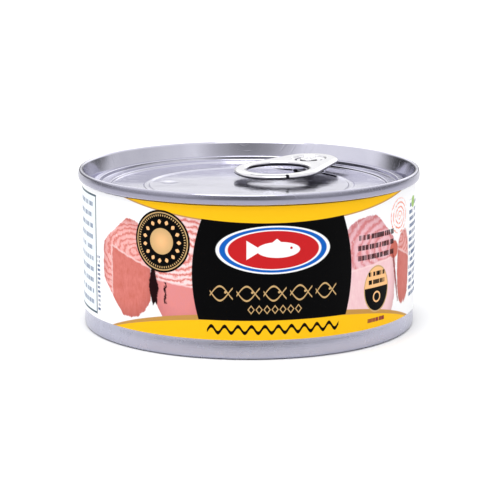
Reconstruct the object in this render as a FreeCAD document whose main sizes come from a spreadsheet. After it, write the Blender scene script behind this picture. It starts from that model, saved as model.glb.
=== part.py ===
import FreeCAD, Part
import math
import os

import Sketcher
from FreeCAD import Vector

# A sealed can of tuna: drawn can body, seamed easy-open lid, pull tab and paper label.
# Millimetres, +Z up, origin at the centre of the circle that the can stands on.

PARTS_FOLDER = "parts"

# Driving sizes: alias, value in millimetres or degrees, meaning.
SIZES = [
    ("canHeight", 40.2, "base to the top of the seam"),
    ("seamDiameter", 87.3, "outside of the double seam"),
    ("seamHeight", 2.6, "length of the double seam"),
    ("seamWidth", 1.3, "thickness of the double seam"),
    ("seamOverhang", 1.25, "seam proud of the body wall"),
    ("seamRounding", 0.6, "radius of the seam's two top edges"),
    ("baseRounding", 1.0, "radius where the wall turns into the base"),
    ("standWidth", 2.2, "width of the ring that the can stands on"),
    ("baseRecess", 0.9, "standing ring up to the base panel"),
    ("baseBeadDiameter", 52.0, "outside of the round bead in the base panel"),
    ("baseBeadWidth", 3.2, "width of that bead"),
    ("baseBeadDepth", 0.5, "depth of that bead"),
    ("sheet", 0.3, "metal of the lid"),
    ("chuckSlope", 1.1, "how far the chuck wall leans in"),
    ("sinkDepth", 5.2, "seam top down to the bottom of the countersink"),
    ("sinkWidth", 1.4, "width of the countersink"),
    ("shoulderDepth", 3.4, "seam top down to the panel's shoulder"),
    ("shoulderWidth", 0.8, "flat of the shoulder"),
    ("shoulderSlope", 0.5, "how far each side of the shoulder leans"),
    ("bandDepth", 4.3, "seam top down to the raised band"),
    ("bandWidth", 1.9, "flat of the raised band"),
    ("bandSlope", 0.6, "how far the inner side of the band leans"),
    ("panelDepth", 4.8, "seam top down to the main panel"),
    ("beadDiameter", 54.0, "outside of the fine bead on the main panel"),
    ("beadWidth", 1.6, "width of that bead"),
    ("beadHeight", 0.2, "height of that bead"),
    ("pressedRounding", 0.25, "radius of the shoulder's pressed edges"),
    ("labelPaper", 0.2, "thickness of the label"),
    ("labelFoot", 4.9, "base up to the lower edge of the label"),
    ("labelGap", 0.3, "upper edge of the label to the seam"),
    ("tabBearing", 55.0, "direction of the tab's nose, from +X towards +Y"),
    ("tabTipInset", 2.75, "panel's shoulder in to the tip of the nose"),
    ("tabLength", 34.2, "nose tip to the back of the finger ring"),
    ("tabRingDiameter", 23.0, "outside of the finger ring"),
    ("tabRingBand", 3.3, "width of the finger ring's band"),
    ("tabBridge", 1.1, "least metal between the finger hole and the web"),
    ("tabNoseDiameter", 16.0, "width of the nose"),
    ("tabThickness", 1.4, "height of the tab's hemmed edge"),
    ("hemRounding", 0.6, "radius of the hemmed outer edge"),
    ("holeRounding", 0.5, "radius of the finger hole's edges"),
    ("tabNoseDepth", 1.2, "seam top down to the top of the nose"),
    ("tabDip", 2.2, "angle that the tab slopes down towards its ring"),
    ("rivetInset", 8.0, "nose tip to the axis of the rivet"),
    ("rivetDiameter", 3.0, "shank of the rivet"),
    ("rivetClearance", 0.06, "gap round the shank and under the head"),
    ("rivetHeadDiameter", 4.6, "head of the rivet"),
    ("rivetHeadHeight", 0.45, "height of the head"),
    ("bossRim", 3.0, "rivet shank out to the edge of its boss"),
    ("bossHeight", 0.5, "main panel up to the top of the boss"),
    ("webDepth", 0.5, "hemmed edge down to the web round the rivet"),
    ("webSheet", 0.4, "metal of that web"),
    ("tongueRim", 0.9, "rivet head out to the slot round its tongue"),
    ("tongueGap", 0.5, "width of that slot"),
    ("tongueRoot", 55.0, "half of the angle that the slot leaves uncut"),
    ("webRim", 0.9, "slot out to the edge of the web"),
]

# Sizes that follow from the driving ones.
DERIVED = [
    ("axis", "0"),
    # Radii of the seam and of the lid's pressed rings, going inwards.
    ("seamOut", "seamDiameter / 2"),
    ("bodyOut", "seamOut - seamOverhang"),
    ("chuckTop", "seamOut - seamWidth"),
    ("sinkOut", "chuckTop - chuckSlope"),
    ("sinkIn", "sinkOut - sinkWidth"),
    ("shoulderOut", "sinkIn - shoulderSlope"),
    ("shoulderIn", "shoulderOut - shoulderWidth"),
    ("bandOut", "shoulderIn - shoulderSlope"),
    ("bandIn", "bandOut - bandWidth"),
    ("panelOut", "bandIn - bandSlope"),
    ("beadOut", "beadDiameter / 2"),
    ("beadTopOut", "beadOut - beadHeight"),
    ("beadIn", "beadOut - beadWidth"),
    ("beadTopIn", "beadIn + beadHeight"),
    # Heights of the lid's faces.
    ("seamFoot", "canHeight - seamHeight"),
    ("sinkTop", "canHeight - sinkDepth"),
    ("shoulderTop", "canHeight - shoulderDepth"),
    ("bandTop", "canHeight - bandDepth"),
    ("panelTop", "canHeight - panelDepth"),
    ("beadTop", "panelTop + beadHeight"),
    ("bossTop", "panelTop + bossHeight"),
    # The lid's underside, one sheet below.
    ("sinkUnder", "sinkTop - sheet"),
    ("shoulderUnder", "shoulderTop - sheet"),
    ("bandUnder", "bandTop - sheet"),
    ("panelUnder", "panelTop - sheet"),
    ("chuckBack", "chuckTop - chuckSlope * seamHeight / sinkDepth + sheet"),
    ("sinkBack", "sinkOut + sheet"),
    ("sinkFront", "sinkIn - sheet"),
    ("shoulderBack", "shoulderOut - sheet"),
    # The base.
    ("standIn", "bodyOut - baseRounding - standWidth"),
    ("baseOut", "standIn - baseRecess"),
    ("baseBeadOut", "baseBeadDiameter / 2"),
    ("baseBeadIn", "baseBeadOut - baseBeadWidth"),
    ("baseBeadTopOut", "baseBeadOut - baseBeadDepth"),
    ("baseBeadTopIn", "baseBeadIn + baseBeadDepth"),
    ("baseBeadTop", "baseRecess + baseBeadDepth"),
    # The label.
    ("labelOut", "bodyOut + labelPaper"),
    ("labelHeight", "seamFoot - labelGap - labelFoot"),
    # The tab, in its own frame: +X to the nose, the rivet on Z, and its underside at 0.
    ("noseRadius", "tabNoseDiameter / 2"),
    ("ringRadius", "tabRingDiameter / 2"),
    ("noseAt", "rivetInset - noseRadius"),
    ("ringAt", "rivetInset - tabLength + ringRadius"),
    ("shankRadius", "rivetDiameter / 2"),
    ("headRadius", "rivetHeadDiameter / 2"),
    ("tongueIn", "headRadius + tongueRim"),
    ("tongueOut", "tongueIn + tongueGap"),
    ("webRadius", "tongueOut + webRim"),
    ("holeRadius", "min(ringRadius - tabRingBand; -ringAt - webRadius - tabBridge)"),
    ("shankHoleRadius", "shankRadius + rivetClearance"),
    ("hemRadius", "min(hemRounding; tabThickness * 0.43)"),
    ("holeEdgeRadius", "min(holeRounding; tabThickness * 0.4)"),
    ("webTop", "tabThickness - webDepth"),
    ("webHollow", "webTop - webSheet"),
    ("bossRadius", "shankRadius + bossRim"),
    # Where that frame sits in the can.
    ("rivetOut", "shoulderIn - tabTipInset - rivetInset"),
    ("tabDrop", "tabNoseDepth + tabThickness * cos(tabDip) + rivetInset * sin(tabDip)"),
    ("tabFoot", "canHeight - tabDrop"),
    ("shankFoot", "panelTop - tabFoot"),
    ("shankLength", "webTop + rivetClearance + rivetHeadHeight / 2 - shankFoot"),
]

# The lid's underside from the axis to the body wall; the body is filled up to it.
UNDERSIDE = [
    ("axis", "panelUnder"),
    ("panelOut", "panelUnder"),
    ("bandIn", "bandUnder"),
    ("bandOut", "bandUnder"),
    ("shoulderIn", "shoulderUnder"),
    ("shoulderBack", "shoulderUnder"),
    ("sinkFront", "sinkUnder"),
    ("sinkBack", "sinkUnder"),
    ("chuckBack", "seamFoot"),
    ("bodyOut", "seamFoot"),
]

# The lid's upper side from the foot of the seam to the axis.
UPPER_SIDE = [
    ("seamOut", "seamFoot"),
    ("seamOut", "canHeight"),
    ("chuckTop", "canHeight"),
    ("sinkOut", "sinkTop"),
    ("sinkIn", "sinkTop"),
    ("shoulderOut", "shoulderTop"),
    ("shoulderIn", "shoulderTop"),
    ("bandOut", "bandTop"),
    ("bandIn", "bandTop"),
    ("panelOut", "panelTop"),
    ("beadOut", "panelTop"),
    ("beadTopOut", "beadTop"),
    ("beadTopIn", "beadTop"),
    ("beadIn", "panelTop"),
    ("axis", "panelTop"),
]

# The base from the axis to the outside of the wall.
BASE = [
    ("axis", "baseRecess"),
    ("baseBeadIn", "baseRecess"),
    ("baseBeadTopIn", "baseBeadTop"),
    ("baseBeadTopOut", "baseBeadTop"),
    ("baseBeadOut", "baseRecess"),
    ("baseOut", "baseRecess"),
    ("standIn", "axis"),
    ("bodyOut", "axis"),
]


def makeSheet(doc):
    sheet = doc.addObject("Spreadsheet::Sheet", "Sizes")
    rows = [(alias, str(size), meaning) for alias, size, meaning in SIZES]
    rows += [(alias, "=" + formula, "follows from the sizes above") for alias, formula in DERIVED]
    for row, (alias, content, meaning) in enumerate(rows, start=1):
        sheet.set(f"A{row}", alias)
        sheet.set(f"C{row}", meaning)
        sheet.set(f"B{row}", content)
        sheet.setAlias(f"B{row}", alias)
    doc.recompute()
    return sheet


def size(owner, alias):
    """The present value of a named size."""
    return float(getattr(owner.Document.getObject("Sizes"), alias))


def bind(owner, target, alias):
    owner.setExpression(target, f"Sizes.{alias}")


def newBody(doc, label):
    body = doc.addObject("PartDesign::Body", label)
    body.Label = label
    return body


def newSketch(body, name, role):
    sketch = body.newObject("Sketcher::SketchObject", name)
    plane = next(f for f in body.Origin.OriginFeatures if f.Role == role)
    sketch.AttachmentSupport = [(plane, "")]
    sketch.MapMode = "FlatFace"
    return sketch


def tie(sketch, kind, *where, alias):
    """Adds a driving dimension to the sketch and binds it to a named size."""
    index = sketch.addConstraint(Sketcher.Constraint(kind, *where, size(sketch, alias)))
    bind(sketch, f"Constraints[{index}]", alias)


def pin(sketch, geometry, point, x, y):
    """Fixes one point of the sketch at two named distances from its origin."""
    for kind, alias, axis in (("DistanceX", x, -2), ("DistanceY", y, -1)):
        if alias == "axis":
            sketch.addConstraint(Sketcher.Constraint("PointOnObject", geometry, point, axis))
        else:
            tie(sketch, kind, -1, 1, geometry, point, alias=alias)


def revolved(body, name, corners):
    """A solid of revolution about Z from a closed outline of (radius, height) sizes."""
    sketch = newSketch(body, name + "Outline", "XZ_Plane")
    spots = [Vector(size(body, radius), size(body, height), 0) for radius, height in corners]
    for i, spot in enumerate(spots):
        sketch.addGeometry(Part.LineSegment(spot, spots[(i + 1) % len(spots)]), False)
    for i in range(len(spots)):
        meet = Sketcher.Constraint("Coincident", i, 2, (i + 1) % len(spots), 1)
        sketch.addConstraint(meet)
    for i, (radius, height) in enumerate(corners):
        pin(sketch, i, 1, radius, height)
    turn = body.newObject("PartDesign::Revolution", name)
    turn.Profile = sketch
    turn.ReferenceAxis = (sketch, ["V_Axis"])
    turn.Angle = 360
    body.Document.recompute()
    return turn


def roundRings(body, name, base, rings, alias):
    """Rounds the turned edges that lie at the given (radius, height) sizes."""
    spots = [(size(body, radius), size(body, height)) for radius, height in rings]
    edges = []
    for i, edge in enumerate(base.Shape.Edges, start=1):
        if isinstance(edge.Curve, Part.Circle):
            ring = (edge.Curve.Radius, edge.Curve.Center.z)
            if any(math.dist(ring, spot) < 1e-4 for spot in spots):
                edges.append(f"Edge{i}")
    return roundEdges(body, name, base, edges, len(rings), alias)


def roundEdges(body, name, base, edges, count, alias):
    if len(edges) != count:
        raise ValueError(f"{name} found {len(edges)} edges and not {count}")
    fillet = body.newObject("PartDesign::Fillet", name)
    fillet.Base = (base, edges)
    bind(fillet, "Radius", alias)
    body.Document.recompute()
    return fillet


def prism(body, name, kind, sketch, length=None, reverse=False):
    """Pads or pockets a sketch, and checks that the solid grew or shrank."""
    before = body.Shape.Volume if body.Tip else 0.0
    feature = body.newObject(f"PartDesign::{kind}", name)
    feature.Profile = sketch
    feature.Reversed = reverse
    if length:
        bind(feature, "Length", length)
    else:
        feature.Type = "ThroughAll"
    body.Document.recompute()
    change = body.Shape.Volume - before
    if (change <= 1e-6) if kind == "Pad" else (change >= -1e-6):
        raise ValueError(f"{name} changed the volume by {change:.4f}")
    return feature


def circleSketch(body, name, centre, radius):
    """A circle centred on the X axis of the body's XY plane."""
    sketch = newSketch(body, name, "XY_Plane")
    middle = Vector(size(body, centre), 0, 0)
    ring = Part.Circle(middle, Vector(0, 0, 1), size(body, radius))
    index = sketch.addGeometry(ring, False)
    pin(sketch, index, 3, centre, "axis")
    tie(sketch, "Radius", index, alias=radius)
    return sketch


def tabFrame(lift):
    """The tab's frame in the can, moved along its own Z by a formula."""
    out = f"(Sizes.rivetOut - ({lift}) * sin(Sizes.tabDip))"
    x = f"{out} * cos(Sizes.tabBearing)"
    y = f"{out} * sin(Sizes.tabBearing)"
    z = f"Sizes.tabFoot + ({lift}) * cos(Sizes.tabDip)"
    return f"placement(vector({x}; {y}; {z}); rotation(Sizes.tabBearing; -Sizes.tabDip; 0))"


def makeCanBody(doc):
    """The drawn body, filled up to the lid: wall, standing ring and beaded base."""
    body = newBody(doc, "can_body")
    turn = revolved(body, "DrawnBody", BASE + UNDERSIDE[::-1])
    roundRings(body, "BaseRounding", turn, [("bodyOut", "axis")], "baseRounding")
    return body


def makeLid(doc):
    """The seamed end: double seam, chuck wall, countersink, beaded panel and rivet."""
    body = newBody(doc, "lid")
    turn = revolved(body, "SeamedEnd", UPPER_SIDE + UNDERSIDE)
    crest = roundRings(body, "SeamRounding", turn, UPPER_SIDE[1:3], "seamRounding")
    roundRings(body, "PressedRounding", crest, UPPER_SIDE[5:7], "pressedRounding")

    boss = body.newObject("PartDesign::AdditiveCylinder", "RivetBoss")
    bind(boss, "Radius", "bossRadius")
    bind(boss, "Height", "bossHeight + Sizes.sheet / 2")
    x = "Sizes.rivetOut * cos(Sizes.tabBearing)"
    y = "Sizes.rivetOut * sin(Sizes.tabBearing)"
    spot = f"vector({x}; {y}; Sizes.panelTop - Sizes.sheet / 2)"
    boss.setExpression("Placement", f"placement({spot}; rotation(0; 0; 0))")
    doc.recompute()

    shank = body.newObject("PartDesign::AdditiveCylinder", "RivetShank")
    bind(shank, "Radius", "shankRadius")
    bind(shank, "Height", "shankLength")
    shank.setExpression("Placement", tabFrame("Sizes.shankFoot"))
    doc.recompute()

    head = body.newObject("PartDesign::AdditiveCylinder", "RivetHead")
    bind(head, "Radius", "headRadius")
    bind(head, "Height", "rivetHeadHeight")
    head.setExpression("Placement", tabFrame("Sizes.webTop + Sizes.rivetClearance"))
    doc.recompute()
    return body


def tabOutline(body):
    """The nose's arc, the finger ring's arc and the two straight sides that touch both."""
    sketch = newSketch(body, "TabOutline", "XY_Plane")
    nose, ring = size(body, "noseRadius"), size(body, "ringRadius")
    noseAt, ringAt = size(body, "noseAt"), size(body, "ringAt")
    touch = math.acos((ring - nose) / (noseAt - ringAt))
    up = Vector(0, 0, 1)
    noseCircle = Part.Circle(Vector(noseAt, 0, 0), up, nose)
    ringCircle = Part.Circle(Vector(ringAt, 0, 0), up, ring)
    noseArc = Part.ArcOfCircle(noseCircle, -touch, touch)
    ringArc = Part.ArcOfCircle(ringCircle, touch, 2 * math.pi - touch)
    upper = Part.LineSegment(noseArc.EndPoint, ringArc.StartPoint)
    lower = Part.LineSegment(ringArc.EndPoint, noseArc.StartPoint)
    for shape in (noseArc, upper, ringArc, lower):
        sketch.addGeometry(shape, False)
    for i in range(4):
        sketch.addConstraint(Sketcher.Constraint("Tangent", i, 2, (i + 1) % 4, 1))
    pin(sketch, 0, 3, "noseAt", "axis")
    pin(sketch, 2, 3, "ringAt", "axis")
    tie(sketch, "Radius", 0, alias="noseRadius")
    tie(sketch, "Radius", 2, alias="ringRadius")
    return sketch


def tongueSlot(body):
    """A C-shaped slot round the rivet, open towards the nose."""
    sketch = newSketch(body, "TongueSlot", "XY_Plane")
    root = math.radians(size(body, "tongueRoot"))
    up = Vector(0, 0, 1)
    arcs = []
    for alias in ("tongueIn", "tongueOut"):
        circle = Part.Circle(Vector(0, 0, 0), up, size(body, alias))
        arcs.append(Part.ArcOfCircle(circle, root, 2 * math.pi - root))
    inner, outer = arcs
    sketch.addGeometry(inner, False)
    sketch.addGeometry(outer, False)
    sketch.addGeometry(Part.LineSegment(inner.StartPoint, outer.StartPoint), False)
    sketch.addGeometry(Part.LineSegment(inner.EndPoint, outer.EndPoint), False)
    for line, end in ((2, 1), (3, 2)):
        sketch.addConstraint(Sketcher.Constraint("Coincident", line, 1, 0, end))
        sketch.addConstraint(Sketcher.Constraint("Coincident", line, 2, 1, end))
        sketch.addConstraint(Sketcher.Constraint("PointOnObject", -1, 1, line))
    for arc, alias in ((0, "tongueIn"), (1, "tongueOut")):
        sketch.addConstraint(Sketcher.Constraint("Coincident", arc, 3, -1, 1))
        tie(sketch, "Radius", arc, alias=alias)
    for line, sign in ((2, 1), (3, -1)):
        angle = Sketcher.Constraint("Angle", line, sign * root)
        index = sketch.addConstraint(angle)
        sketch.setExpression(f"Constraints[{index}]", f"{sign} * Sizes.tongueRoot * 1deg")
    return sketch


def outerEdges(shape, depth):
    """Names of the edges of a pad's flat faces, at its foot and its top."""
    names = []
    for i, edge in enumerate(shape.Edges, start=1):
        box = edge.BoundBox
        level = min(abs(box.ZMin), abs(box.ZMin - depth))
        if box.ZMax - box.ZMin < 1e-6 and level < 1e-6:
            names.append(f"Edge{i}")
    return names


def circleEdges(shape, radius):
    """Names of the edges that are whole circles of the given radius."""
    names = []
    for i, edge in enumerate(shape.Edges, start=1):
        if isinstance(edge.Curve, Part.Circle) and edge.isClosed():
            if abs(edge.Curve.Radius - radius) < 1e-6:
                names.append(f"Edge{i}")
    return names


def makePullTab(doc):
    """The hemmed tab with its finger ring, and the web that the rivet holds."""
    body = newBody(doc, "pull_tab")
    blank = prism(body, "TabBlank", "Pad", tabOutline(body), "tabThickness")
    hem = outerEdges(blank.Shape, size(body, "tabThickness"))
    roundEdges(body, "HemRounding", blank, hem, 8, "hemRadius")
    fingerHole = circleSketch(body, "FingerHoleSketch", "ringAt", "holeRadius")
    opened = prism(body, "FingerHole", "Pocket", fingerHole, reverse=True)
    rims = circleEdges(opened.Shape, size(body, "holeRadius"))
    roundEdges(body, "FingerHoleRounding", opened, rims, 2, "holeEdgeRadius")
    above = circleSketch(body, "WebSketch", "axis", "webRadius")
    bind(above, "AttachmentOffset.Base.z", "webTop")
    prism(body, "Web", "Pocket", above, reverse=True)
    below = circleSketch(body, "HollowSketch", "axis", "webRadius")
    prism(body, "Hollow", "Pocket", below, "webHollow", reverse=True)
    shankHole = circleSketch(body, "ShankHoleSketch", "axis", "shankHoleRadius")
    prism(body, "ShankHole", "Pocket", shankHole, reverse=True)
    prism(body, "Tongue", "Pocket", tongueSlot(body), reverse=True)
    body.setExpression("Placement", tabFrame("0"))
    doc.recompute()
    return body


def makeLabel(doc):
    """A paper sleeve round the wall, between the base and the seam."""
    rings = []
    for name, radius in (("LabelOutside", "labelOut"), ("LabelInside", "bodyOut")):
        ring = doc.addObject("Part::Cylinder", name)
        bind(ring, "Radius", radius)
        bind(ring, "Height", "labelHeight")
        bind(ring, "Placement.Base.z", "labelFoot")
        rings.append(ring)
    sleeve = doc.addObject("Part::Cut", "label")
    sleeve.Base, sleeve.Tool = rings
    sleeve.Label = "label"
    doc.recompute()
    return sleeve


doc = FreeCAD.newDocument("TunaCan")
makeSheet(doc)
parts = [make(doc) for make in (makeCanBody, makeLid, makePullTab, makeLabel)]
doc.recompute()
for item in doc.Objects:
    if {"Invalid", "Error"} & set(item.State):
        raise RuntimeError(f"{item.Label} is in state {item.State}")
os.makedirs(PARTS_FOLDER, exist_ok=True)
for part in parts:
    if part.Shape.isNull() or not part.Shape.isValid() or len(part.Shape.Solids) != 1:
        raise RuntimeError(f"{part.Label} is not one sound solid")
    part.Shape.exportStep(f"{PARTS_FOLDER}/{part.Label}.step")
    box = part.Shape.BoundBox
    print(f"{part.Label}: {part.Shape.Volume:.1f} mm3, z {box.ZMin:.2f} to {box.ZMax:.2f}")
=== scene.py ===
import math

import bmesh
import bpy
from mathutils import Matrix, Vector


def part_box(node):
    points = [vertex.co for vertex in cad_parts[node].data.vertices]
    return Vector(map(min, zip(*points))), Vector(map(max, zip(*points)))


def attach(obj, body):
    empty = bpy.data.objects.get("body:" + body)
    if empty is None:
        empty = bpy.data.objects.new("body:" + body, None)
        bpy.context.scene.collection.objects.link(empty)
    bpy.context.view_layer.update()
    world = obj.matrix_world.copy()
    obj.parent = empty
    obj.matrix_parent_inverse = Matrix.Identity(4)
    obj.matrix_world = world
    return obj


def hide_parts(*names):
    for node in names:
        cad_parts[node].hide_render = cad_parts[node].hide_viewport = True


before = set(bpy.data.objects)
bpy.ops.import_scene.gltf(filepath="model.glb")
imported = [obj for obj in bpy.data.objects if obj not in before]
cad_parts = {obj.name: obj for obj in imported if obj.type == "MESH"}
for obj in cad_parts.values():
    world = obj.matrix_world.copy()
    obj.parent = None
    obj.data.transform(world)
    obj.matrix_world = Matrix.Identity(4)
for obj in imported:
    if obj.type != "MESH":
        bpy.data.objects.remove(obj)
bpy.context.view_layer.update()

mm = 0.001
weld = 1e-7  # vertices nearer than this, in metres, are one
close = 1e-6
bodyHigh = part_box("can_body")[1]
lidLow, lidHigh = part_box("lid")
labelLow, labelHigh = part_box("label")
canHeight = lidHigh[2] / mm
seamRadius = lidHigh[0] / mm
seamFoot = bodyHigh[2] / mm
wallRadius = bodyHigh[0] / mm
labelFoot = labelLow[2] / mm
labelTop = labelHigh[2] / mm
print("frame loaded with", len(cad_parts), "nodes: a can", round(seamRadius * 2, 1), "mm across and",
      round(canHeight, 1), "mm high")


# shared mesh steps

def finishMesh(name, mesh, material, sharpAngle=35):
    # merges doubles, turns the faces outwards and leaves the piece riding on the can
    bmesh.ops.remove_doubles(mesh, verts=mesh.verts, dist=weld)
    bmesh.ops.dissolve_degenerate(mesh, edges=mesh.edges, dist=1e-8)
    bmesh.ops.recalc_face_normals(mesh, faces=mesh.faces)
    for face in mesh.faces:
        face.smooth = True
    for edge in mesh.edges:
        if len(edge.link_faces) == 2:
            edge.smooth = edge.calc_face_angle() < math.radians(sharpAngle)
    data = bpy.data.meshes.new(name)
    mesh.to_mesh(data)
    mesh.free()
    data.materials.append(material)
    piece = bpy.data.objects.new(name, data)
    bpy.context.scene.collection.objects.link(piece)
    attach(piece, "root")
    return piece


def spinOutline(corners, steps, roundings=()):
    # turns a closed outline of (radius, height) in mm about Z, then rounds the named corners
    mesh = bmesh.new()
    ring = [mesh.verts.new((radius * mm, 0, height * mm)) for radius, height in corners]
    for i, vert in enumerate(ring):
        following = ring[(i + 1) % len(ring)]
        if vert.co.x > 0 or following.co.x > 0:
            mesh.edges.new((vert, following))
    bmesh.ops.spin(
        mesh, geom=mesh.verts[:] + mesh.edges[:], cent=(0, 0, 0), axis=(0, 0, 1), dvec=(0, 0, 0),
        angle=2 * math.pi, steps=steps, use_merge=True, use_normal_flip=False, use_duplicate=False)
    bmesh.ops.remove_doubles(mesh, verts=mesh.verts, dist=weld)
    bmesh.ops.dissolve_degenerate(mesh, edges=mesh.edges, dist=1e-8)
    bmesh.ops.recalc_face_normals(mesh, faces=mesh.faces)
    for radius, height, size, segments in roundings:
        edges = [edge for edge in mesh.edges if all(onRing(vert, radius, height) for vert in edge.verts)]
        bmesh.ops.bevel(
            mesh, geom=edges, offset=size * mm, offset_type="OFFSET", affect="EDGES",
            segments=segments, profile=0.5, material=-1, clamp_overlap=True)
    return mesh


def onRing(vert, radius, height):
    away = math.hypot(math.hypot(vert.co.x, vert.co.y) - radius * mm, vert.co.z - height * mm)
    return away < close


# shader sums

class Wire:
    # a socket in a material; sums on wires add their Math nodes
    def __init__(self, tree, socket=None):
        self.tree = tree
        self.socket = socket

    def node(self, kind, settings=None, values=None, out=0):
        made = self.tree.nodes.new("ShaderNode" + kind)
        for name, value in (settings or {}).items():
            setattr(made, name, value)
        for key, value in (values or {}).items():
            if isinstance(value, Wire):
                self.tree.links.new(value.socket, made.inputs[key])
            else:
                made.inputs[key].default_value = value
        return Wire(self.tree, made.outputs[out])

    def math(self, operation, *values, clamp=False):
        return self.node("Math", {"operation": operation, "use_clamp": clamp}, dict(enumerate(values)))

    def __add__(self, other):
        return self.math("ADD", self, other)

    def __sub__(self, other):
        return self.math("SUBTRACT", self, other)

    def __rsub__(self, other):
        return self.math("SUBTRACT", other, self)

    def __mul__(self, other):
        return self.math("MULTIPLY", self, other)

    def __truediv__(self, other):
        return self.math("DIVIDE", self, other)

    def __pow__(self, other):
        return self.math("POWER", self, other)

    def __abs__(self):
        return self.math("ABSOLUTE", self)

    __radd__ = __add__
    __rmul__ = __mul__

    def of(self, operation):
        return self.math(operation, self)

    def length(self):
        return self.node("VectorMath", {"operation": "LENGTH"}, {0: self}, out=1)

    def least(self, other):
        return self.math("MINIMUM", self, other)

    def most(self, other):
        return self.math("MAXIMUM", self, other)

    def limited(self, low, high):
        return self.node("MapRange", {"clamp": True}, {0: self, 1: low, 2: high})

    def between(self, low, high):
        # a colour from low to high as this wire goes from 0 to 1
        return self.node("Mix", {"data_type": "RGBA"}, {0: self, 6: low, 7: high}, out=2)

    def mixed(self, mask, tint):
        # this colour with another laid over it where the mask is 1
        return mask.between(self, tint)

    def parts(self):
        split = self.node("SeparateXYZ", {}, {0: self}).socket.node
        return [Wire(self.tree, output) for output in split.outputs]

    def vector(self, x=0.0, y=0.0, z=0.0):
        return self.node("CombineXYZ", {}, {0: x, 1: y, 2: z})

    def noise(self, place, scale, detail=2.0, roughness=0.5, dimensions="3D"):
        return self.node("TexNoise", {"noise_dimensions": dimensions},
                         {"Vector": place, "Scale": scale, "Detail": detail, "Roughness": roughness})


def linear(step):
    share = step / 255
    return share / 12.92 if step <= 10 else ((share + 0.055) / 1.055) ** 2.4


def ink(red, green, blue):
    # a colour given in the usual 0 to 255 steps
    return (linear(red), linear(green), linear(blue), 1.0)


def newMaterial(name, constants):
    # a Principled shader with its constant sockets set, and a bare wire to start sums from
    material = bpy.data.materials.new(name)
    material.use_nodes = True
    tree = material.node_tree
    shader = next(node for node in tree.nodes if node.type == "BSDF_PRINCIPLED")
    for key, value in constants.items():
        shader.inputs[key].default_value = value
    return material, shader, Wire(tree)


def plug(shader, **wires):
    for key, wire in wires.items():
        wire.tree.links.new(wire.socket, shader.inputs[key.replace("_", " ")])


# metals

tinplate = {
    "tint": ink(184, 184, 200),
    "deepTint": ink(168, 168, 184),
    "roughness": 0.24,
    "roughnessSpread": 0.06,
    "mottle": 260.0,
    "drawnLines": 220.0,
    "lineStretch": 12.0,
    "lineBump": 0.05,
    "lineDepth": 0.0002,
}


def makeTinplate():
    material, shader, wire = newMaterial("tinplate", {"Metallic": 1.0})
    spot = wire.node("TexCoord", out=3)
    stretched = wire.node("Mapping", {}, {"Vector": spot, "Scale": (1.0, 1.0, tinplate["lineStretch"])})
    cloud = wire.noise(spot, tinplate["mottle"], 3.0)
    lines = wire.noise(stretched, tinplate["drawnLines"], 2.0)
    bump = wire.node("Bump", {}, {"Strength": tinplate["lineBump"], "Distance": tinplate["lineDepth"],
                                  "Height": lines})
    plug(shader, Base_Color=cloud.between(tinplate["deepTint"], tinplate["tint"]),
         Roughness=cloud * tinplate["roughnessSpread"] + tinplate["roughness"], Normal=bump)
    return material


lidSheet = {
    "tint": ink(216, 215, 229),
    "deepTint": ink(200, 199, 215),
    # painted shade: the seam's darker tint stands in for its darker reflections
    "seamShadeTint": ink(152, 151, 168),
    "roughness": 0.1,
    "roughnessSpread": 0.04,
    "seamRoughness": 0.26,
    "workedShadeFrom": 0.5,
    "workedShadeTo": 0.15,
    "mottle": 180.0,
    "waves": 95.0,
    "waviness": 0.5,
    "waveDepth": 0.0003,
    "scratches": 160.0,
    "scratchStretch": 22.0,
    "scratchCut": (0.66, 0.74),
    "scratchTurns": ((0.3, 0.0), (1.25, 4.0), (2.2, 9.0)),
    "scratchBump": 0.1,
    "scratchDepth": 0.0001,
    "scratchRoughness": 0.12,
}


def makeLidSheet():
    # bright inside; at the seam a darker tint is painted shade, and the sheet is rougher where the seaming
    # rolls bent it
    material, shader, wire = newMaterial("lidSheet", {"Metallic": 1.0})
    spot = wire.node("TexCoord", out=3)
    flatSpot = spot.node("VectorMath", {"operation": "MULTIPLY"}, {0: spot, 1: (1.0, 1.0, 0.0)})
    cloud = wire.noise(spot, lidSheet["mottle"], 3.0)
    waves = wire.noise(spot, lidSheet["waves"], 1.0)
    scratches = None
    for turn, start in lidSheet["scratchTurns"]:
        along = wire.node("Mapping", {}, {
            "Vector": spot, "Location": (start, 0, 0), "Rotation": (0, 0, turn),
            "Scale": (1.0, lidSheet["scratchStretch"], 1.0)})
        hair = wire.noise(along, lidSheet["scratches"], 2.0).limited(*lidSheet["scratchCut"])
        scratches = hair if scratches is None else scratches.most(hair)
    # the seam band: rougher where the rolls bent it, and darkened by painted shade
    workedAndShaded = flatSpot.length().limited((seamRadius - lidSheet["workedShadeFrom"]) * mm,
                                       (seamRadius - lidSheet["workedShadeTo"]) * mm)
    base = cloud.between(lidSheet["deepTint"], lidSheet["tint"]).mixed(workedAndShaded, lidSheet["seamShadeTint"])
    soft = wire.node("Bump", {}, {"Strength": lidSheet["waviness"], "Distance": lidSheet["waveDepth"],
                                  "Height": waves})
    bump = wire.node("Bump", {}, {"Strength": lidSheet["scratchBump"], "Distance": lidSheet["scratchDepth"],
                                  "Height": scratches, "Normal": soft})
    roughness = cloud * lidSheet["roughnessSpread"] + scratches * lidSheet["scratchRoughness"]
    roughness = roughness + lidSheet["roughness"]
    roughness = roughness + workedAndShaded * (lidSheet["seamRoughness"] - lidSheet["roughness"])
    plug(shader, Base_Color=base, Roughness=roughness, Normal=bump)
    return material


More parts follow.
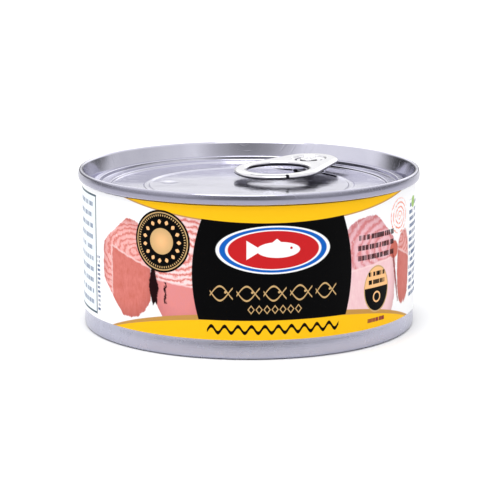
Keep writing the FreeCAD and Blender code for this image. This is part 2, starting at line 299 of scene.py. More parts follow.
tabMetal = {
    "tint": ink(240, 239, 242),
    "deepTint": ink(226, 225, 230),
    # painted shade for the tab's underside and its notch
    "paintedShadeTint": ink(24, 23, 30),
    "underRoughness": 0.3,
    "paintedShadeCut": (0.0, -0.35),
    "roughness": 0.05,
    "roughnessSpread": 0.05,
    "mottle": 400.0,
    "waves": 150.0,
    "waviness": 0.35,
    "waveDepth": 0.0002,
    "notchShadeReach": 0.7,
    "notchShadeFade": 1.05,
}


def makeTabMetal():
    material, shader, wire = newMaterial("tabMetal", {"Metallic": 1.0})
    spot = wire.node("TexCoord", out=3)
    cloud = wire.noise(spot, tabMetal["mottle"], 2.0)
    waves = wire.noise(spot, tabMetal["waves"], 1.0)
    faceUp = wire.node("TexCoord", out=1).parts()[2]
    away = spot.node("VectorMath", {"operation": "SUBTRACT"}, {0: spot, 1: tabFrame() @ notchSpot()})
    reach = tabMetal["notchShadeReach"] * mm
    paintedShade = faceUp.limited(*tabMetal["paintedShadeCut"])  # painted shade: dark on the side that faces the lid, and in the notch
    paintedShade = paintedShade.most(away.length().limited(reach * tabMetal["notchShadeFade"], reach))
    base = cloud.between(tabMetal["deepTint"], tabMetal["tint"]).mixed(paintedShade, tabMetal["paintedShadeTint"])
    roughness = cloud * tabMetal["roughnessSpread"] + paintedShade * tabMetal["underRoughness"]
    roughness = roughness + tabMetal["roughness"]
    bump = wire.node("Bump", {}, {"Strength": tabMetal["waviness"], "Distance": tabMetal["waveDepth"],
                                  "Height": waves})
    plug(shader, Base_Color=base, Roughness=roughness, Normal=bump)
    return material


# can body

canBody = {
    "steps": 256,
    "baseRounding": 1.0,
    "standWidth": 2.2,
    "baseRecess": 0.9,
    "beadRadius": 26.0,
    "beadWidth": 3.2,
    "beadDepth": 0.5,
    "waistIn": 0.42,
    "waistAbove": 0.3,
    "bellyIn": 0.1,
    "bellyAt": 3.1,
    "heelAt": 1.7,
    "heelRounding": 0.5,
    "bellyRounding": 0.7,
    "standRounding": 0.5,
    "beadRounding": 0.3,
    "neck": 0.6,
    "neckDepth": 1.5,
}


def makeCanBody(material):
    standIn = wallRadius - canBody["baseRounding"] - canBody["standWidth"]
    panel = canBody["baseRecess"]
    beadOut = canBody["beadRadius"]
    beadIn = beadOut - canBody["beadWidth"]
    slope = canBody["beadDepth"]
    waist = wallRadius - canBody["waistIn"]
    waistAt = labelFoot + canBody["waistAbove"]
    belly = wallRadius - canBody["bellyIn"]
    neck = wallRadius - canBody["neck"]
    shelf = lidLow[2] / mm - canBody["neckDepth"]
    corners = [
        (0, panel), (beadIn, panel), (beadIn + slope, panel + slope),
        (beadOut - slope, panel + slope), (beadOut, panel),
        (standIn - panel, panel), (standIn, 0), (wallRadius, 0),
        (wallRadius, canBody["heelAt"]), (belly, canBody["bellyAt"]), (waist, waistAt),
        (waist, seamFoot), (neck, seamFoot), (neck, shelf), (0, shelf),
    ]
    roundings = [
        (wallRadius, 0, canBody["baseRounding"], 8),
        (wallRadius, canBody["heelAt"], canBody["heelRounding"], 4),
        (belly, canBody["bellyAt"], canBody["bellyRounding"], 5),
        (standIn, 0, canBody["standRounding"], 3),
        (beadIn + slope, panel + slope, canBody["beadRounding"], 2),
        (beadOut - slope, panel + slope, canBody["beadRounding"], 2),
    ]
    mesh = spinOutline(corners, canBody["steps"], roundings)
    piece = finishMesh("drawnBody", mesh, material)
    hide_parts("can_body")
    return piece


# lid

lidShape = {
    "steps": 288,
    "sheet": 0.3,
    "seamWidth": 1.3,
    "seamBulge": 0.3,
    "bulgeHeight": 0.85,
    "chuckSlope": 1.1,
    "sinkDepth": 5.2,
    "sinkWidth": 1.4,
    "shoulderDepth": 3.4,
    "shoulderWidth": 1.7,
    "shoulderSlope": 0.05,
    "bandDepth": 4.3,
    "bandWidth": 2.7,
    "bandSlope": 0.16,
    "panelDepth": 4.8,
    "scoreInset": 0.3,
    "scoreWidth": 0.22,
    "scoreDepth": 0.12,
    "beadRadius": 27.0,
    "beadWidth": 1.6,
    "beadHeight": 0.2,
    "beadRounding": 0.12,
    "rollRounding": 0.46,
    "ringPitch": 0.35,
    "ringCount": 23,
    "dimple": (-20.6, 3.4),
    "dimpleRadius": 2.6,
    "dimpleDepth": 0.18,
}


def makeLid(material):
    chuckTop = seamRadius - lidShape["seamWidth"]
    sinkOut = chuckTop - lidShape["chuckSlope"]
    sinkIn = sinkOut - lidShape["sinkWidth"]
    shoulderOut = sinkIn - lidShape["shoulderSlope"]
    shoulderIn = shoulderOut - lidShape["shoulderWidth"]
    bandOut = shoulderIn - lidShape["shoulderSlope"]
    bandIn = bandOut - lidShape["bandWidth"]
    panelOut = bandIn - lidShape["bandSlope"]
    beadOut = lidShape["beadRadius"]
    beadIn = beadOut - lidShape["beadWidth"]
    bead = lidShape["beadHeight"]
    sink = canHeight - lidShape["sinkDepth"]
    shoulder = canHeight - lidShape["shoulderDepth"]
    band = canHeight - lidShape["bandDepth"]
    panel = canHeight - lidShape["panelDepth"]
    sheet = lidShape["sheet"]
    score = bandOut - lidShape["scoreInset"]
    scoreHalf = lidShape["scoreWidth"] / 2
    chuckBack = chuckTop - lidShape["chuckSlope"] * (canHeight - seamFoot) / lidShape["sinkDepth"] + sheet
    hem = seamRadius - lidShape["seamBulge"]
    bulgeAt = seamFoot + lidShape["bulgeHeight"]
    corners = [
        (hem, seamFoot), (seamRadius, bulgeAt), (hem, canHeight), (chuckTop, canHeight), (sinkOut, sink),
        (sinkIn, sink), (shoulderOut, shoulder), (shoulderIn, shoulder), (bandOut, band),
        (score + scoreHalf, band), (score, band - lidShape["scoreDepth"]), (score - scoreHalf, band),
        (bandIn, band), (panelOut, panel), (beadOut, panel), (beadOut - bead, panel + bead),
        (beadIn + bead, panel + bead), (beadIn, panel),
    ]
    # closer rings on the flat panel, so that the dimple can bend them
    pitch = lidShape["ringPitch"]
    corners += [(beadIn - pitch * (step + 1), panel) for step in range(lidShape["ringCount"])]
    corners += [
        (0, panel), (0, panel - sheet), (panelOut, panel - sheet), (bandIn, band - sheet),
        (bandOut, band - sheet), (shoulderIn, shoulder - sheet), (shoulderOut - sheet, shoulder - sheet),
        (sinkIn - sheet, sink - sheet), (sinkOut + sheet, sink - sheet), (chuckBack, seamFoot),
    ]
    roundings = [
        (hem, seamFoot, 0.3, 3), (seamRadius, bulgeAt, 0.6, 6),
        (hem, canHeight, lidShape["rollRounding"], 6), (chuckTop, canHeight, lidShape["rollRounding"], 6),
        (sinkOut, sink, 0.4, 4), (sinkIn, sink, 0.4, 4),
        (shoulderOut, shoulder, 0.32, 4), (shoulderIn, shoulder, 0.2, 4),
        (bandOut, band, 0.15, 2), (bandIn, band, 0.2, 4), (panelOut, panel, 0.2, 4),
    ]
    roundings += [(radius, level, lidShape["beadRounding"], 2) for radius, level in (
        (beadOut, panel), (beadOut - bead, panel + bead), (beadIn + bead, panel + bead), (beadIn, panel))]
    mesh = spinOutline(corners, lidShape["steps"], roundings)
    centre = Vector((lidShape["dimple"][0] * mm, lidShape["dimple"][1] * mm))
    for vert in mesh.verts:
        away = (vert.co.xy - centre).length / (lidShape["dimpleRadius"] * mm)
        if away < 1 and abs(vert.co.z - panel * mm) < close:
            vert.co.z -= lidShape["dimpleDepth"] * mm * (1 - away * away) ** 2
    piece = finishMesh("seamedLid", mesh, material)
    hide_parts("lid")
    return piece


# pull tab and rivet

tabShape = {
    "bearing": 55.0,
    "dip": 2.2,
    "tipRadius": 35.8,
    "noseDepth": 1.2,
    "length": 34.2,
    "ringRadius": 11.5,
    "ringSteps": 144,
    "holeRadius": 8.2,
    "noseRadius": 8.0,
    "noseSteps": 112,
    "thickness": 1.4,
    "hemCrown": (1.35, 0.6),
    "hemSteps": 10,
    "holeCrown": (1.15, 0.42),
    "holeUnderCrown": (1.15, 0.95),
    "curlLip": 0.06,
    "curlDepth": 0.2,
    "cutBeyond": 1.0,
    "webRadius": 4.6,
    "webFillet": 0.25,
    "webLip": 0.2,
    "webDepth": 0.5,
    "webSheet": 0.4,
    "tongueIn": 3.2,
    "tongueGap": 0.5,
    "tongueRoot": 55.0,
    "notchRadius": 0.42,
    "notchBearing": -132.9,
    "notchInset": 0.6,
    "jointRadius": 10.95,
    "jointWidth": 0.16,
    "jointDepth": 0.4,
    "jointRun": 52.0,
    "rivetInset": 8.0,
}

rivetShape = {
    "steps": 64,
    "play": 0.06,
    "shankRadius": 1.5,
    "shankDepth": 1.6,
    "headRadius": 2.3,
    "headHeight": 0.45,
    "headRounding": 0.3,
    "underRounding": 0.15,
    "dishRadius": 1.0,
    "dishFloor": 0.7,
    "dishDepth": 0.25,
    "dishRounding": 0.1,
    "bossRadius": 4.5,
    "bossHeight": 0.5,
    "bossSlope": 0.5,
    "bossSink": 0.2,
    "bossRounding": 0.3,
    "bossSteps": 80,
}


def tabFrame():
    # the tab's own frame: +X to the nose, the rivet on Z, its underside at 0
    bearing, dip = math.radians(tabShape["bearing"]), math.radians(tabShape["dip"])
    out = tabShape["tipRadius"] - tabShape["rivetInset"]
    foot = canHeight - tabShape["noseDepth"] - tabShape["thickness"] * math.cos(dip)
    foot -= tabShape["rivetInset"] * math.sin(dip)
    place = Matrix.Translation(Vector((out * math.cos(bearing), out * math.sin(bearing), foot)) * mm)
    return place @ Matrix.Rotation(bearing, 4, "Z") @ Matrix.Rotation(-dip, 4, "Y")


def ringCentre():
    # where the finger ring's centre lies on the tab's own X
    return tabShape["rivetInset"] - tabShape["length"] + tabShape["ringRadius"]


def notchSpot():
    turn = math.radians(tabShape["notchBearing"])
    out = tabShape["ringRadius"] - tabShape["notchInset"]
    x, y = ringCentre() + out * math.cos(turn), out * math.sin(turn)
    return Vector((x, y, tabShape["thickness"] / 2)) * mm


def addCutter(mesh, name):
    data = bpy.data.meshes.new(name)
    mesh.to_mesh(data)
    mesh.free()
    cutter = bpy.data.objects.new(name, data)
    bpy.context.scene.collection.objects.link(cutter)
    return cutter


def cutAway(mesh, cutters):
    # takes each cutter's shape out of the mesh in turn and removes the cutters
    for cutter in cutters:
        blank = addCutter(mesh, "blank")
        modifier = blank.modifiers.new("cut", "BOOLEAN")
        modifier.operation = "DIFFERENCE"
        modifier.solver = "EXACT"
        modifier.object = cutter
        bpy.context.view_layer.update()
        evaluated = blank.evaluated_get(bpy.context.evaluated_depsgraph_get())
        mesh = bmesh.new()
        mesh.from_mesh(evaluated.to_mesh())
        evaluated.to_mesh_clear()
        bpy.data.objects.remove(blank)
        bpy.data.objects.remove(cutter)
    return mesh


def roundCutter(name, radius, low, high, steps, place=(0, 0, 0)):
    mesh = spinOutline([(0, low), (radius, low), (radius, high), (0, high)], steps)
    bmesh.ops.translate(mesh, verts=mesh.verts, vec=place)
    return addCutter(mesh, name)


def spoolCutter(name, x, radius, low, high, lowCrown, highCrown, steps=96):
    # a cylinder whose ends flare, so that the hole it cuts has rounded edges
    beyond = tabShape["cutBeyond"]
    flares = 10
    halves = []
    for level, outward, (wide, tall) in ((low, -1, lowCrown), (high, 1, highCrown)):
        end = level + outward * beyond
        half = [(0, end), (radius + wide, end), (radius + wide, level)]
        for step in range(1, flares + 1):
            angle = math.pi / 2 * step / flares
            out = radius + wide * (1 - math.sin(angle))
            half.append((out, level - outward * tall * (1 - math.cos(angle))))
        halves.append(half)
    mesh = spinOutline(halves[0] + halves[1][::-1], steps)
    bmesh.ops.translate(mesh, verts=mesh.verts, vec=(x * mm, 0, 0))
    return addCutter(mesh, name)


def arcCutter(name, x, near, far, low, high, start, sweep, steps):
    # a bar that runs part of the way round, from the bearing start through sweep degrees
    mesh = bmesh.new()
    turn = Matrix.Rotation(math.radians(start), 3, "Z")
    places = [turn @ Vector(corner) * mm for corner in (
        (near, 0, low), (far, 0, low), (far, 0, high), (near, 0, high))]
    end = mesh.faces.new([mesh.verts.new(place) for place in places])
    bmesh.ops.spin(
        mesh, geom=[end], cent=(0, 0, 0), axis=(0, 0, 1), dvec=(0, 0, 0), angle=math.radians(sweep),
        steps=steps, use_merge=False, use_duplicate=False)
    bmesh.ops.remove_doubles(mesh, verts=mesh.verts, dist=weld)
    bmesh.ops.holes_fill(mesh, edges=mesh.edges)
    bmesh.ops.recalc_face_normals(mesh, faces=mesh.faces)
    bmesh.ops.translate(mesh, verts=mesh.verts, vec=(x * mm, 0, 0))
    return addCutter(mesh, name)


def makeTabBlank():
    # two discs in one hull, with a rounded edge and the groove of the curl round its side
    nose = tabShape["noseRadius"]
    rings = ((ringCentre(), tabShape["ringRadius"], tabShape["ringSteps"]),
             (tabShape["rivetInset"] - nose, nose, tabShape["noseSteps"]))
    mesh = bmesh.new()
    for x, radius, steps in rings:
        for level in (0, tabShape["thickness"]):
            bmesh.ops.create_circle(mesh, cap_ends=False, segments=steps, radius=radius * mm,
                                    matrix=Matrix.Translation(Vector((x, 0, level)) * mm))
    hull = bmesh.ops.convex_hull(mesh, input=mesh.verts)
    inner = [vert for vert in hull["geom_interior"] if isinstance(vert, bmesh.types.BMVert)]
    bmesh.ops.delete(mesh, geom=inner, context="VERTS")
    bmesh.ops.delete(mesh, geom=[edge for edge in mesh.edges if not edge.link_faces], context="EDGES")
    flats = [edge for edge in mesh.edges if isFlat(edge) and abs(edge.link_faces[0].normal.z) > 0.9]
    bmesh.ops.dissolve_edges(mesh, edges=flats, use_verts=False)
    walls = [edge for edge in mesh.edges if isFlat(edge) and rise(edge) > close]
    bmesh.ops.dissolve_edges(mesh, edges=walls, use_verts=False)
    rims = [edge for edge in mesh.edges if rise(edge) < weld]
    wide, tall = tabShape["hemCrown"]
    # scaled and back, so that the rounding is wider than it is tall
    bmesh.ops.scale(mesh, verts=mesh.verts, vec=(1, 1, wide / tall))
    bmesh.ops.bevel(mesh, geom=rims, offset=wide * mm, offset_type="OFFSET", affect="EDGES",
                    segments=tabShape["hemSteps"], profile=0.5, material=-1, clamp_overlap=True)
    bmesh.ops.scale(mesh, verts=mesh.verts, vec=(1, 1, tall / wide))
    side = [face for face in mesh.faces if abs(face.normal.z) < 0.01]
    bmesh.ops.inset_region(
        mesh, faces=side, thickness=tabShape["curlLip"] * mm, depth=-tabShape["curlDepth"] * mm,
        use_even_offset=True, use_boundary=True)
    return mesh


def isFlat(edge):
    return edge.calc_face_angle() < 0.001


def rise(edge):
    return abs(edge.verts[0].co.z - edge.verts[1].co.z)


def makePullTab(material):
    thick = tabShape["thickness"]
    below, above = -tabShape["cutBeyond"], thick + tabShape["cutBeyond"]
    web = thick - tabShape["webDepth"]
    radius, fillet, lip = tabShape["webRadius"], tabShape["webFillet"], tabShape["webLip"]
    dish = [
        (0, web), (radius - fillet, web), (radius - fillet * 0.6, web + fillet * 0.2),
        (radius, web + fillet), (radius, thick - lip), (radius + lip, thick), (radius + lip, above),
        (0, above),
    ]
    joint = tabShape["jointRadius"]  # where the curled edge meets itself, left of the notch
    cutters = [
        spoolCutter("fingerHole", ringCentre(), tabShape["holeRadius"], 0, thick,
                    tabShape["holeUnderCrown"], tabShape["holeCrown"]),
        addCutter(spinOutline(dish, 80), "webTop"),
        roundCutter("webFoot", radius, below, web - tabShape["webSheet"], 80),
        roundCutter("shankHole", rivetShape["shankRadius"] + rivetShape["play"], below, thick, 48),
        arcCutter("tongueSlot", 0, tabShape["tongueIn"], tabShape["tongueIn"] + tabShape["tongueGap"],
                  below, thick, tabShape["tongueRoot"], 360 - 2 * tabShape["tongueRoot"], 56),
        roundCutter("hemNotch", tabShape["notchRadius"], below, above, 24, notchSpot()),
        arcCutter("hemJoint", ringCentre(), joint, joint + tabShape["jointWidth"],
                  thick - tabShape["jointDepth"], above,
                  tabShape["notchBearing"], -tabShape["jointRun"], 30),
    ]
    mesh = cutAway(makeTabBlank(), cutters)
    bmesh.ops.transform(mesh, matrix=tabFrame(), verts=mesh.verts)
    piece = finishMesh("pullTab", mesh, material)
    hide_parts("pull_tab")
    return piece


def makeRivet(material):
    foot = tabShape["thickness"] - tabShape["webDepth"] + rivetShape["play"]
    head = foot + rivetShape["headHeight"]
    root = -rivetShape["shankDepth"]
    floor = head - rivetShape["dishDepth"]
    shank, radius, dish = rivetShape["shankRadius"], rivetShape["headRadius"], rivetShape["dishRadius"]
    corners = [
        (0, root), (shank, root), (shank, foot), (radius, foot), (radius, head), (dish, head),
        (rivetShape["dishFloor"], floor), (0, floor),
    ]
    roundings = [
        (radius, head, rivetShape["headRounding"], 4), (radius, foot, rivetShape["underRounding"], 2),
        (dish, head, rivetShape["dishRounding"], 2),
    ]
    mesh = spinOutline(corners, rivetShape["steps"], roundings)
    bmesh.ops.transform(mesh, matrix=tabFrame(), verts=mesh.verts)
    return finishMesh("rivet", mesh, material)


def makeRivetBoss(material):
    panel = canHeight - lidShape["panelDepth"]
    foot, top = panel - rivetShape["bossSink"], panel + rivetShape["bossHeight"]
    radius = rivetShape["bossRadius"]
    crown = radius - rivetShape["bossSlope"]
    mesh = spinOutline([(0, foot), (radius, foot), (radius, panel), (crown, top), (0, top)],
                       rivetShape["bossSteps"], [(crown, top, rivetShape["bossRounding"], 3)])
    centre = tabFrame().translation
    bmesh.ops.translate(mesh, verts=mesh.verts, vec=(centre.x, centre.y, 0))
    return finishMesh("rivetBoss", mesh, material)


# printed label: its art is laid out in mm from its own centre and from the paper's lower edge

labelShape = {
    "paper": 0.2,
    "overlap": 6.0,
    "liftRun": 2.0,
    "columns": 372,
    "rows": 14,
    "artShift": 6.2,
    "artRise": 0.5,
    "lapGap": 0.02,
    "lapRise": 0.01,
    "bakeStrips": 3,
    "bakeMargin": 0.01,
    "stripMargin": 0.02,
    "fibreScale": 6.0,
    "fibreBump": 0.08,
    "fibreDepth": 0.0001,
    "roughness": 0.33,
    "roughnessSpread": 0.1,
}

labelInks = {
    "paper": ink(252, 252, 253),
    "warmPaper": ink(248, 249, 252),
    "yellow": ink(253, 196, 26),
    "band": ink(196, 148, 78),
    "black": ink(2, 2, 3),
    "gold": ink(205, 170, 118),
    "paleGold": ink(252, 196, 138),
    "red": ink(200, 36, 40),
    "blue": ink(20, 96, 190),
    "salmon": ink(200, 104, 90),
    "rose": ink(230, 142, 136),
    "blush": ink(252, 222, 222),
    "flake": ink(244, 182, 178),
    "pink": ink(222, 142, 148),
    "mauve": ink(238, 190, 198),
    "meatShade": ink(140, 56, 54),
    "gap": ink(30, 6, 10),
    "coral": ink(240, 150, 128),
    "smallText": ink(84, 104, 140),
    "tableLine": ink(60, 84, 98),
    "leaf": ink(150, 190, 90),
    "tableWash": ink(240, 247, 252),
}

pictures = {
    "leftChunk": {
        "centre": (-39.4, 15.8), "half": 9.0, "tall": 12.2, "shoulder": (26.0, -41.5, 0.75),
        "heel": (11.7, -48.0, -1.04), "depth": 0.5, "rightEdge": -31.2, "faceLeft": -44.6,
        "faceTop": (-38.0, 18.6), "faceSlope": -0.3, "layersAt": (-36.0, 20.0), "squash": 0.55,
        "pitch": 1.15, "seed": 2.0, "face": ("salmon", "rose"), "layers": ("rose", "flake"),
    },
    "middleChunk": {
        "centre": (-23.0, 17.0), "half": 7.2, "tall": 15.5, "shoulder": (40.0, 0.0, 0.0),
        "heel": (0.0, 0.0, 0.0), "depth": 0.5, "rightEdge": -15.0, "faceLeft": -40.0,
        "faceTop": (-25.0, 13.6), "faceSlope": -0.12, "layersAt": (-25.0, 20.5), "squash": 0.5,
        "pitch": 1.3, "seed": 6.0, "face": ("rose", "pink"), "layers": ("rose", "blush"),
    },
    "rightChunk": {
        "centre": (26.0, 13.6), "half": 10.6, "tall": 14.9, "shoulder": (27.0, 30.0, -0.9),
        "heel": (0.0, 0.0, 0.0), "depth": 0.2, "rightEdge": 37.2, "faceLeft": 0.0,
        "faceTop": (27.0, 16.4), "faceSlope": 0.1, "layersAt": (31.5, 20.0), "squash": 0.75,
        "pitch": 1.8, "seed": 9.0, "face": ("mauve", "blush"), "layers": ("pink", "mauve"),
    },
    "wedge": {
        "centre": (41.2, 13.6), "half": 3.6, "tall": 9.2, "shoulder": (40.0, 0.0, 0.0),
        "heel": (0.0, 0.0, 0.0), "depth": 0.5, "rightEdge": 60.0, "faceLeft": 0.0,
        "faceTop": (41.0, 17.4), "faceSlope": -0.4, "layersAt": (39.5, 21.0), "squash": 0.8,
        "pitch": 1.3, "seed": 13.0, "face": ("salmon", "rose"), "layers": ("rose", "flake"),
    },
}


def shown(distance, soft=0.05):
    # 1 inside a printed shape and 0 outside, from its distance in mm
    return distance.math("MULTIPLY_ADD", distance, -0.5 / soft, 0.5, clamp=True)


def disc(a, h, x, y, radius):
    return a.vector(a - x, h - y).length() - radius


def oval(a, h, x, y, wide, tall):
    return a.vector((a - x) * (tall / wide), h - y).length() - tall


def slab(a, h, left, right, foot, top):
    side = abs(a - (left + right) / 2) - (right - left) / 2
    return side.most(abs(h - (foot + top) / 2) - (top - foot) / 2)


def outline(distance, width):
    return abs(distance) - width / 2


def bearingFrom(a, h, x, y):
    up = h - y
    return up.math("ARCTAN2", up, a - x)


def dashes(a, h, left, right, foot, top, pitch, tall, seed, wordScale):
    # rows of plain dashes of uneven length
    row = ((h - foot) / pitch).of("FLOOR")
    place = h - foot - row * pitch
    dash = a.noise(a.vector(a * wordScale, row * 5.3 + seed), 1.0, 3.0, 0.75).limited(0.44, 0.47)
    return dash * shown(abs(place - pitch / 2) - tall / 2, 0.04) * shown(slab(a, h, left, right, foot, top))


def twoInks(names):
    return [labelInks[name] for name in names]


def tunaChunk(colour, a, h, chunk):
    # a cut piece of fish: curved flaky layers above, and a smooth cut face below them
    x, y = chunk["centre"]
    wobble = a.noise(a.vector(a * 0.5, h * 0.5, chunk["seed"]), 1.0, 4.0, 0.6) - 0.5
    grain = a.noise(a.vector(a * 2.2, h * 0.5, chunk["seed"] + 3), 1.0, 4.0, 0.65)
    away = a.vector((a - chunk["layersAt"][0]) * chunk["squash"], h - chunk["layersAt"][1]).length()
    layers = ((away + wobble * 2.2) * (2 * math.pi / chunk["pitch"])).of("SINE")
    patchy = layers + (grain - 0.5) * 1.6 + wobble * 2.4
    flesh = patchy.limited(-0.9, 0.8).between(*twoInks(chunk["layers"]))
    flesh = flesh.mixed(layers.limited(-0.6, -1.0) * chunk["depth"], labelInks["salmon"])
    flesh = flesh.mixed(grain.limited(0.6, 0.72) * 0.8, labelInks["paper"])
    flesh = flesh.mixed(grain.limited(0.36, 0.24) * 0.55, labelInks["meatShade"])
    line = h - chunk["faceTop"][1] - (a - chunk["faceTop"][0]) * chunk["faceSlope"]
    face = line.most(chunk["faceLeft"] - a) + wobble * 1.1
    cutFace = (grain * 0.6 + wobble * 0.7 + 0.2).limited(0.2, 0.95).between(*twoInks(chunk["face"]))
    flesh = flesh.mixed(shown(face, 0.12), cutFace)
    flesh = flesh.mixed(shown(outline(face, 0.4), 0.2) * 0.75, labelInks["blush"])
    u = abs((a - x) / chunk["half"]) ** 2.6
    v = abs((h - y) / chunk["tall"]) ** 2.6
    shape = (u + v - 1) * (chunk["half"] * 0.38) + wobble * 0.9 + (grain - 0.5) * 0.5
    flesh = flesh.mixed(shown(shape + 1.1, 1.0) * -0.3 + 0.3, labelInks["meatShade"])
    shape = shape.most(a - chunk["rightEdge"])
    top, start, slope = chunk["shoulder"]
    shape = shape.most(h - top - (a - start) * slope + wobble * 1.6)
    foot, start, slope = chunk["heel"]
    shape = shape.most((a - start) * slope + foot - h + wobble * 0.8)
    return colour.mixed(shown(shape, 0.12), flesh)


meat = {
    "jag": 0.9,
    "crackAt": -27.0,
    "crackLevel": 11.0,
    "crackHalf": 2.6,
    "crackWidth": 0.5,
    "gapAt": -30.3,
    "gapLevel": 12.0,
    "gapHalf": 1.45,
    "gapTall": 5.2,
    "gapLean": 0.05,
    "gapTaper": 0.2,
    "cleftAt": -29.9,
    "cleftTop": 8.4,
    "cleftSpread": 0.62,
    "darkSpot": (35.9, 18.8, 2.0, 2.2),
    "splitAt": 36.2,
    "splitHalf": 0.42,
    "splitTall": 6.6,
    "splitLean": 0.22,
    "curl": (38.6, 26.6, 4.6),
    "curlTurns": 5.6,
}


def fishPictures(colour, a, h):
    inks = labelInks
    jag = a.noise(a.vector(a * meat["jag"], h * meat["jag"], 20.0), 1.0, 3.0, 0.6) - 0.5
    colour = tunaChunk(colour, a, h, pictures["middleChunk"])
    crack = outline(a - meat["crackAt"] + jag * 1.6, meat["crackWidth"])
    crack = crack.most(abs(h - meat["crackLevel"]) - meat["crackHalf"])
    colour = colour.mixed(shown(crack, 0.15), inks["gap"])
    colour = tunaChunk(colour, a, h, pictures["leftChunk"])
    up = h - meat["gapLevel"]
    gap = abs(a - meat["gapAt"] + up * meat["gapLean"] + jag * 0.8)
    gap = gap - meat["gapHalf"] + abs(up) * meat["gapTaper"]
    colour = colour.mixed(shown(gap.most(abs(up) - meat["gapTall"]), 0.15), inks["gap"])
    up = h - meat["cleftTop"]
    cleft = (abs(a - meat["cleftAt"]) + up * meat["cleftSpread"]).most(up)
    colour = colour.mixed(shown(cleft, 0.12), inks["paper"])
    colour = tunaChunk(colour, a, h, pictures["rightChunk"])
    colour = tunaChunk(colour, a, h, pictures["wedge"])
    colour = colour.mixed(shown(oval(a, h, *meat["darkSpot"]) + jag * 0.8, 0.2), inks["salmon"])
    split = abs(a - meat["splitAt"] - (14.0 - h) * meat["splitLean"] + jag * 0.7)
    split = split - meat["splitHalf"] + abs(h - 12.5) * 0.03
    colour = colour.mixed(shown(split.most(abs(h - 12.0) - meat["splitTall"]), 0.2), inks["meatShade"])
    x, y, radius = meat["curl"]
    curl = disc(a, h, x, y, radius)
    turns = ((curl + jag * 0.7) * meat["curlTurns"] + bearingFrom(a, h, x, y)).of("SINE")
    rings = turns.limited(0.1, 0.8) * shown(curl, 0.3) * jag.limited(-0.12, 0.0)
    return colour.mixed(rings, inks["coral"])


lenses = {
    "upperFoot": 28.85,
    "upperBow": 0.0028,
    "upperLine": 0.35,
    "lowerTop": 5.75,
    "lowerHalf": 44.8,
    "bandTop": 7.1,
    "bandHalf": 46.0,
    "fullness": 2.6,
}


def lowerLens(a, h, half, top):
    return h - (1 - (abs(a) / half) ** lenses["fullness"]) * top


def yellowLenses(colour, a, h):
    inks = labelInks
    upper = a * a * lenses["upperBow"] + lenses["upperFoot"] - h
    colour = colour.mixed(shown(upper - lenses["upperLine"], 0.08), inks["band"])
    colour = colour.mixed(shown(upper, 0.06), inks["yellow"])
    lower = lowerLens(a, h, lenses["bandHalf"], lenses["bandTop"])
    colour = colour.mixed(shown(lower, 0.08), inks["band"])
    lower = lowerLens(a, h, lenses["lowerHalf"], lenses["lowerTop"])
    return colour.mixed(shown(lower, 0.06), inks["yellow"])


darkPanel = {
    "half": 20.0,
    "middle": 16.2,
    "foot": 5.3,
    "sideRadius": 36.5,
}


def blackPanel(colour, a, h):
    up = h - darkPanel["middle"]
    sides = abs(a) + up * up / (2 * darkPanel["sideRadius"]) - darkPanel["half"]
    top = h - lenses["upperFoot"] - a * a * lenses["upperBow"]
    return colour.mixed(shown(sides.most(darkPanel["foot"] - h).most(top), 0.06), labelInks["black"])


seal = {
    "centre": (-28.0, 23.5),
    "radius": 7.6,
    "rim": 6.95,
    "rimWidth": 0.28,
    "ticks": (6.3, 64),
    "tickWidth": 0.45,
    "beads": (4.75, 15),
    "beadSize": 0.55,
    "middle": 3.2,
}


def medallion(colour, a, h):
    inks = labelInks
    x, y = seal["centre"]
    away = disc(a, h, x, y, 0.0)
    bearing = bearingFrom(a, h, x, y)
    colour = colour.mixed(shown(away - seal["radius"]), inks["black"])
    colour = colour.mixed(shown(outline(away - seal["rim"], seal["rimWidth"]), 0.06), inks["gold"])
    tickRing, tickCount = seal["ticks"]
    ticks = (bearing * tickCount).of("SINE").limited(0.1, 0.5)
    colour = colour.mixed(shown(outline(away - tickRing, seal["tickWidth"]), 0.06) * ticks, inks["gold"])
    beadRing, beadCount = seal["beads"]
    beads = (bearing * beadCount).of("COSINE")
    drops = shown(outline(away - beadRing, 0.2) - beads * seal["beadSize"] + 0.1, 0.08)
    colour = colour.mixed(drops, inks["paleGold"])
    sheen = away.limited(0.0, seal["middle"] + 0.2).between(inks["paleGold"], inks["gold"])
    return colour.mixed(shown(away - seal["middle"]), sheen)


plainBadge = {
    "oval": (-0.2, 22.4, 12.0, 5.0),
    "rims": ((0.8, "paper"), (0.45, "blue"), (-0.15, "paper"), (-0.4, "red")),
    "fish": (0.8, 22.4, 5.2, 1.9),
    "tail": (-3.4, 0.62, 0.2),
    "tailRun": (-5.0, 1.8),
    "fin": (0.4, 0.8, 25.1),
    "finFoot": 23.4,
    "eye": (3.9, 22.8, 0.32),
}


def badge(colour, a, h):
    # a plain oval with a plain fish
    inks = labelInks
    shape = oval(a, h, *plainBadge["oval"])
    for grow, name in plainBadge["rims"]:
        colour = colour.mixed(shown(shape - grow), inks[name])
    body = oval(a, h, *plainBadge["fish"])
    spine = abs(h - plainBadge["fish"][1])
    root, spread, half = plainBadge["tail"]
    middle, reach = plainBadge["tailRun"]
    tail = (spine - (root - a) * spread - half).most(abs(a - middle) - reach)
    middle, spread, top = plainBadge["fin"]
    fin = (abs(a - middle) * spread + (h - top)).most(plainBadge["finFoot"] - h)
    colour = colour.mixed(shown(body.least(tail).least(fin)), inks["paper"])
    return colour.mixed(shown(disc(a, h, *plainBadge["eye"])), inks["red"])


